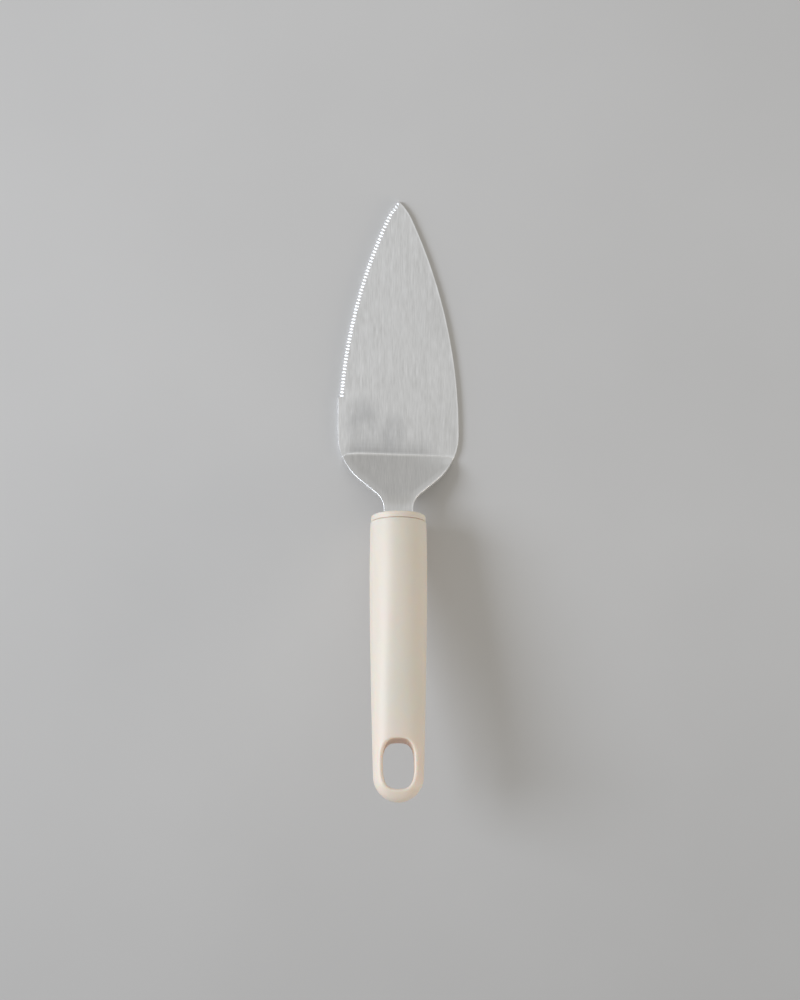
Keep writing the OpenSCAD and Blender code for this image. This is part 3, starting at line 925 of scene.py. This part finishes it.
# %% Handle sizes
handle_l = 129 * mm
handle_front_w = 25.2 * mm
handle_belly_w = 25.8 * mm
handle_rear_w = 22.5 * mm
handle_rear_t = 15 * mm
end_round_l = 8 * mm
handle_wall = 1.6 * mm
bore_w = 21.6 * mm
loop_web = 3.5 * mm
hole_w = 13.9 * mm
hole_l = 22 * mm
hole_end_gap = 5.3 * mm
cap_l = 3.2 * mm
core_tail = 2 * mm
hollow_ledge = 0.8 * mm
hollow_nose_l = 9 * mm
mouth_round = 0.4 * mm
belly_share = 0.2
loop_square_share = 0.15
taper_power = 1.5

bore_r = bore_w / 2
belly_u = cap_l + (handle_l - cap_l) * belly_share
round_w_u = handle_l - handle_rear_w / 2
round_t_u = handle_l - end_round_l
hole_u = handle_l - hole_end_gap - hole_l / 2
core_back_u = tang_l + core_tail
hollow_end_u = hole_u - hole_l / 2 - loop_web
print("belly and hole in mm along the handle:", round(belly_u / mm, 1), round(hole_u / mm, 1))

# %% Shape along the handle
def round_off(u, start, end):
    """Quarter ellipse: the root of one less the square of the share of the way to the end."""
    return np.sqrt(np.clip(1 - np.clip((u - start) / (end - start), 0, 1) ** 2, 0, 1))


def swell(u, rear, taper_end):
    """Width of the handle: a parabola from the front edge to the belly, and from there a power
    curve to the width at the loop."""
    before = np.clip((belly_u - u) / (belly_u - cap_l), 0, 1)
    after = np.clip((u - belly_u) / (taper_end - belly_u), 0, None)
    to_front = (handle_belly_w - handle_front_w) * before**2
    to_loop = (handle_belly_w - rear) * after**taper_power
    return handle_belly_w - to_front - to_loop


def mouth_cut(u):
    """The quarter circle that rounds the front edge."""
    short = np.clip(cap_l + mouth_round - u, 0, mouth_round)
    return mouth_round - np.sqrt(mouth_round**2 - short**2)


def half_width(u):
    """Half the swell across, times the end's quarter ellipse, less the cut at the mouth."""
    return swell(u, handle_rear_w, round_w_u) / 2 * round_off(u, round_w_u, handle_l) - mouth_cut(u)


def half_height(u):
    """Half the swell in height, times the end's quarter ellipse, less the cut at the mouth."""
    return swell(u, handle_rear_t, round_t_u) / 2 * round_off(u, round_t_u, handle_l) - mouth_cut(u)


def section_power(u):
    """Exponent of the superellipse: 2, a plain ellipse, up to the belly, and a little more, so a
    little squarer, at the loop."""
    return 2 / (1 - loop_square_share * np.clip((u - belly_u) / (round_w_u - belly_u), 0, 1))


def along_handle(x, y, u):
    """Puts points across, up and along the handle into the frame: u runs up the tilted axis."""
    back = cap_front[0] - u * math.cos(handle_tilt) + y * math.sin(handle_tilt)
    up = cap_front[1] + u * math.sin(handle_tilt) + y * math.cos(handle_tilt)
    return np.stack(np.broadcast_arrays(x, back, up), axis=-1)


print("end of the handle in mm:", np.round(along_handle(0, 0, handle_l) / mm, 1))

# %% Rings of the shaft, inside and outside
around = np.linspace(0, 2 * math.pi, 128, endpoint=False)


def signed_power(value, power):
    """A power of the value's size, with the value's sign."""
    return np.sign(value) * np.abs(value) ** power


def rings(half_w, half_h, power, u):
    """Superellipse rings: the half width times the cosine to the power 2 / n, and the half height
    times the sine to the same power."""
    sizes = np.broadcast_arrays(half_w, half_h, power, u)
    half_w, half_h, power, u = [np.asarray(size, float)[:, None] for size in sizes]
    x = half_w * signed_power(np.cos(around), 2 / power)
    y = half_h * signed_power(np.sin(around), 2 / power)
    return along_handle(x, y, u)


loop_before_hole = 7 * mm
loop_u = hole_u - hole_l / 2 - loop_before_hole
nose_u = hollow_end_u - hollow_nose_l
nose = nose_u + hollow_nose_l * np.sin(np.linspace(math.pi / 2, 0, 12))
hollow_u = np.append(nose, np.linspace(nose_u, core_back_u, 20)[1:])
closing = round_off(hollow_u, nose_u, hollow_end_u)
most_r = bore_r - hollow_ledge
hollow = rings(
    np.minimum(half_width(hollow_u) - handle_wall, most_r) * closing,
    np.minimum(half_height(hollow_u) - handle_wall, most_r) * closing,
    section_power(hollow_u),
    hollow_u,
)
bore = rings(bore_r, bore_r, 2, np.linspace(core_back_u, cap_l, 12))
mouth_u = cap_l + mouth_round * (1 - np.cos(np.linspace(0, math.pi / 2, 7)))
skin_u = np.append(mouth_u, np.linspace(mouth_u[-1], loop_u, 90)[1:])
skin = rings(half_width(skin_u), half_height(skin_u), section_power(skin_u), skin_u)
shaft_grid = np.concatenate([hollow, bore, skin])
print("shaft of", len(shaft_grid), "rings")

# %% [markdown]
# ## The hanging loop
#
# A surface with a hole through it is a ring of rows: each row starts at the outline of the loop,
# crosses the top to the hole, goes down through the hole and comes back underneath. The hole is a
# superellipse, a shape between an oval and a rounded slot, and its rim has a rolled edge that
# meets the sloping top at a tangent.

# %% Top of the loop
least_half_w = 1e-9


def top_height(x, u):
    """Height of the top surface over the middle plane, from the superellipse's own equation."""
    power = section_power(u)
    share = np.clip(np.abs(x) / np.maximum(half_width(u), least_half_w), 0, 1)
    return half_height(u) * np.clip(1 - share**power, 0, None) ** (1 / power)


quarter = np.linspace(0, math.pi / 2, 25)
half_ring = len(around) // 2 + 1
straight_u = np.linspace(loop_u, round_w_u, 26)[1:-1]
tail_u = np.append(straight_u, round_w_u + (handle_l - round_w_u) * np.sin(quarter))
front_x = half_width(loop_u) * signed_power(np.cos(around[:half_ring]), 2 / section_power(loop_u))
border_x = np.concatenate([front_x, -half_width(tail_u), half_width(tail_u[-2::-1])])
border_u = np.concatenate([np.full(half_ring, loop_u), tail_u, tail_u[-2::-1]])
print(len(border_x), "points round the loop")

# %% Wall of the hanging hole
hole_power = 2.9
half_hole_w, half_hole_l = hole_w / 2, hole_l / 2
to_border = np.arctan2(border_u - hole_u, border_x)
cosine, sine = np.cos(to_border), np.sin(to_border)
sideways = np.abs(cosine / half_hole_w) ** hole_power
lengthways = np.abs(sine / half_hole_l) ** hole_power
reach = (sideways + lengthways) ** (-1 / hole_power)
hole_x, hole_v = reach * cosine, reach * sine
away_x = signed_power(hole_x / half_hole_w, hole_power - 1) / half_hole_w
away_v = signed_power(hole_v / half_hole_l, hole_power - 1) / half_hole_l
length = np.hypot(away_x, away_v)
away_x, away_v = away_x / length, away_v / length


def off_wall(offset):
    """Place at an offset from the hole's wall, square to it."""
    return hole_x + offset * away_x, hole_u + hole_v + offset * away_v


print("hole in mm:", round(2 * hole_x.max() / mm, 1), "by", round(2 * hole_v.max() / mm, 1))

# %% Rolled rim
rim_r = 1.05 * mm
probe = 0.05 * mm
low_slope = np.zeros_like(hole_x)
for _ in range(4):
    offset = rim_r * (1 + np.sin(low_slope))
    outer, inner = [top_height(*off_wall(offset + step)) for step in (probe, -probe)]
    low_slope = np.arctan((inner - outer) / (2 * probe))
rim_x, rim_u = off_wall(rim_r * (1 + np.sin(low_slope)))
rim_centre = top_height(rim_x, rim_u) - rim_r * np.cos(low_slope)
print("steepest top at the rim in degrees:", round(math.degrees(np.abs(low_slope).max()), 1))

# %% Grid of the loop
rows = np.sin(np.linspace(math.pi / 2, 0, 26))[:, None]
top_x = rim_x + (border_x - rim_x) * rows
top_u = rim_u + (border_u - rim_u) * rows
top_y = top_height(top_x, top_u)
roll = low_slope + (-math.pi / 2 - low_slope) * np.linspace(0, 1, 11)[1:, None]
roll_x, roll_u = off_wall(rim_r * (1 + np.sin(roll)))
roll_y = rim_centre + rim_r * np.cos(roll)
loop_x = np.concatenate([top_x, roll_x])
loop_v = np.concatenate([top_u, roll_u])
loop_y = np.concatenate([top_y, roll_y])
loop_grid = along_handle(
    np.concatenate([loop_x, loop_x[::-1]]),
    np.concatenate([loop_y, -loop_y[::-1]]),
    np.concatenate([loop_v, loop_v[::-1]]),
)

# The middle rows of the hole's wall take the shaded plastic, painted shade of light bounced there.
wall_rows_each_way = 3
cream_finishes = [cream_plastic, shaded_plastic]
shaft_faces = (len(shaft_grid) - 1) * shaft_grid.shape[1]
from_wall = np.abs(np.arange(len(loop_grid) - 1) - (len(loop_grid) - 2) / 2)
loop_finish = np.repeat(from_wall < wall_rows_each_way, loop_grid.shape[1])
grip_finish = np.concatenate([np.zeros(shaft_faces), loop_finish])
grip = make_piece("cream_handle", [shaft_grid, loop_grid], cream_finishes, face_finish=grip_finish)
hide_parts("handle")

# %% [markdown]
# ## The front cap
#
# The cap is a turned ring with a rounded front edge. Rings of equal count run from the slot for the
# tang out over the front face, along the side, back round the spigot and in to the slot again.

# %% Front cap
cap_w = 24.6 * mm
cap_round = 0.9 * mm
cap_rear_round = 0.2 * mm
seam_w = 0.3 * mm
seam_depth = 0.45 * mm
spigot_l = 5 * mm
spigot_wall = 1.6 * mm
fit = 0.1 * mm
slot_power = 8

face_rings = 4
seam_rings = 3
cap_r = cap_w / 2
spigot_r = bore_r - fit
core_front_u = cap_l + spigot_l
front_turn = np.linspace(0, math.pi / 2, 9)
profile_r = np.concatenate([
    np.linspace(half_neck_w, cap_r - cap_round, face_rings + 2)[1:-1],
    cap_r - cap_round + cap_round * np.sin(front_turn),
    cap_r - cap_rear_round + cap_rear_round * np.cos(front_turn[::2]),
    [cap_r - seam_depth, cap_r - seam_depth],
    [spigot_r, spigot_r, spigot_r - spigot_wall, spigot_r - spigot_wall],
])
profile_u = np.concatenate([
    np.zeros(face_rings),
    cap_round - cap_round * np.cos(front_turn),
    cap_l - seam_w - cap_rear_round + cap_rear_round * np.sin(front_turn[::2]),
    [cap_l - seam_w, cap_l, cap_l, core_front_u, core_front_u, cap_l],
])
cap_rings = rings(profile_r, profile_r, 2, profile_u)
slot = rings(half_neck_w + fit, half_t + fit, slot_power, np.array([cap_l, 0]))
cap_grid = np.concatenate([slot[1:], cap_rings, slot])
seam_row = 1 + int(np.argmin(np.abs(profile_u - (cap_l - seam_w))))
cap_finish = np.zeros((len(cap_grid) - 1, cap_grid.shape[1]))
# The seam takes the shaded plastic, painted shade of light bounced inside it.
cap_finish[seam_row:seam_row + seam_rings] = 1
cap = make_piece("cream_cap", [cap_grid], cream_finishes, face_finish=cap_finish)
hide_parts("front_cap")

# %% [markdown]
# ## The core
#
# The two halves that clamp the tang are hidden inside the handle. The solids of the frame already
# have their true shape, so they stay, and only get the finish of a plain moulded plastic.

# %% Core halves
for name in ("core_upper", "core_lower"):
    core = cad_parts[name]
    core.data.materials.clear()
    core.data.materials.append(core_plastic)
    print(name, "keeps its solid, with", core_plastic.name)
